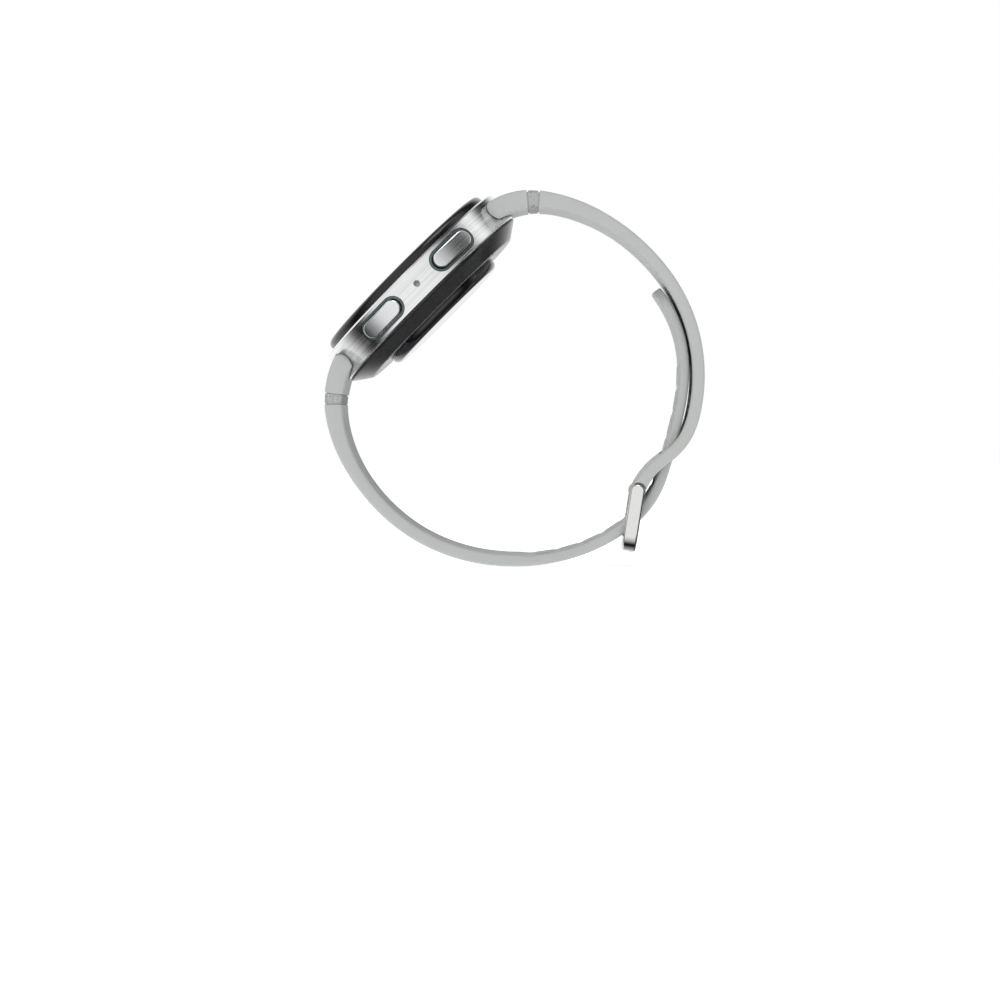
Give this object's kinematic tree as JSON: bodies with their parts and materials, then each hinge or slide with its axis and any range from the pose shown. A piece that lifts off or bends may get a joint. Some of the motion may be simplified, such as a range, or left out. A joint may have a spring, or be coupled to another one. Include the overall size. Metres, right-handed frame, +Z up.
{
  "type": "smartwatch",
  "caption": "Round smartwatch with two side buttons, a domed black rim, a dark sensor window and a buckled silicone band tucked through its own slot.",
  "frame": {"origin": "centre of the sensor window's flat outer face, which a charger or the wrist touches", "axes": "+X out of the 3 o'clock side with the buttons; +Z up with the band buckled and the watch on its side; the display faces half up, along (0, -sin 45, cos 45), and 12 o'clock is along (0, cos 45, sin 45)"},
  "size_m": [0.0404, 0.066, 0.0653],
  "materials": {
    "case_metal": "circular brushed, satin, with a bright bevel",
    "rim_black": "polished black",
    "lens": "clear polished glass over a dark display",
    "display": "unlit display",
    "cover_black": "polished black",
    "window_black": "dark optical window",
    "button_metal": "brushed along the cap",
    "button_ring": "grey-green, satin",
    "band_silicone": "fine matte light grey",
    "buckle_steel": "polished",
    "bar_steel": "turned",
    "seal": "matte",
    "moulding": "fine texture",
    "board": "solder mask",
    "chip": "epoxy",
    "can": "pressed, satin",
    "cell": "foil",
    "copper": "enamelled winding",
    "ferrite": "matte",
    "flex": "film"
  },
  "bodies": {
    "case": {"case_frame": "case_metal", "back_cover": "cover_black", "back_seal": "seal", "back_screws": "bar_steel", "sensor_window": "window_black", "bezel_ring": "rim_black", "cover_glass": "lens", "display_seal": "seal", "display_panel": "display", "display_plate": "can", "display_flex": "flex", "inner_bracket": "moulding", "battery": "cell", "haptic_motor": "can", "main_board": "board", "board_chips": "chip", "board_shield": "can", "microphone": "can", "sensor_board": "board", "sensor_shroud": "moulding", "sensor_diodes": "chip", "charging_coil": "copper", "ferrite_sheet": "ferrite", "upper_button_ring": "button_ring", "upper_button_seal": "seal", "upper_button_switch": "chip", "lower_button_ring": "button_ring", "lower_button_seal": "seal", "lower_button_switch": "chip"},
    "upper_button": {"upper_button_cap": "button_metal", "upper_button_clip": "bar_steel"},
    "lower_button": {"lower_button_cap": "button_metal", "lower_button_clip": "bar_steel"},
    "upper_strap": {"strap_upper": "band_silicone", "upper_bar_tube": "bar_steel", "upper_bar_spring": "bar_steel", "buckle_bar": "bar_steel"},
    "upper_bar_pin_right": {"upper_bar_pin_right": "bar_steel"},
    "upper_bar_pin_left": {"upper_bar_pin_left": "bar_steel"},
    "lower_strap": {"strap_lower": "band_silicone", "lower_bar_tube": "bar_steel", "lower_bar_spring": "bar_steel"},
    "lower_bar_pin_right": {"lower_bar_pin_right": "bar_steel"},
    "lower_bar_pin_left": {"lower_bar_pin_left": "bar_steel"},
    "buckle": {"buckle_frame": "buckle_steel"},
    "tang": {"buckle_tang": "buckle_steel"}
  },
  "joints": [
    {"name": "upper_button_press", "type": "slide", "parent": "case", "child": "upper_button", "axis": [-0.9063, -0.2988, -0.2988], "range_m": [0, 0.0004], "stiffness_N_per_m": 900, "springref_m": -0.0008},
    {"name": "lower_button_press", "type": "slide", "parent": "case", "child": "lower_button", "axis": [-0.9063, 0.2988, 0.2988], "range_m": [0, 0.0004], "stiffness_N_per_m": 900, "springref_m": -0.0008},
    {"name": "upper_strap_hinge", "type": "hinge", "parent": "case", "child": "upper_strap", "pos_m": [0, 0.00651, 0.01626], "axis": [1, 0, 0], "range_deg": [-0.35, 0.35]},
    {"name": "upper_bar_pin_right_slide", "type": "slide", "parent": "upper_strap", "child": "upper_bar_pin_right", "axis": [-1, 0, 0], "range_m": [0, 0.00095], "stiffness_N_per_m": 400, "springref_m": -0.001},
    {"name": "upper_bar_pin_left_slide", "type": "slide", "parent": "upper_strap", "child": "upper_bar_pin_left", "axis": [1, 0, 0], "range_m": [0, 0.00095], "stiffness_N_per_m": 400, "springref_m": -0.001},
    {"name": "lower_strap_hinge", "type": "hinge", "parent": "case", "child": "lower_strap", "pos_m": [0, -0.01626, -0.00651], "axis": [1, 0, 0], "range_deg": [-0.35, 0.35]},
    {"name": "lower_bar_pin_right_slide", "type": "slide", "parent": "lower_strap", "child": "lower_bar_pin_right", "axis": [-1, 0, 0], "range_m": [0, 0.00095], "stiffness_N_per_m": 400, "springref_m": -0.001},
    {"name": "lower_bar_pin_left_slide", "type": "slide", "parent": "lower_strap", "child": "lower_bar_pin_left", "axis": [1, 0, 0], "range_m": [0, 0.00095], "stiffness_N_per_m": 400, "springref_m": -0.001},
    {"name": "buckle_hinge", "type": "hinge", "parent": "upper_strap", "child": "buckle", "pos_m": [0, 0.03314, -0.03075], "axis": [1, 0, 0], "range_deg": [-1.5, 1.5]},
    {"name": "tang_hinge", "type": "hinge", "parent": "upper_strap", "child": "tang", "pos_m": [0, 0.03314, -0.03075], "axis": [1, 0, 0], "range_deg": [-1.5, 1.5]}
  ],
  "couplings": [
    {"joint": "tang_hinge", "follows": "buckle_hinge", "ratio": 1}
  ]
}
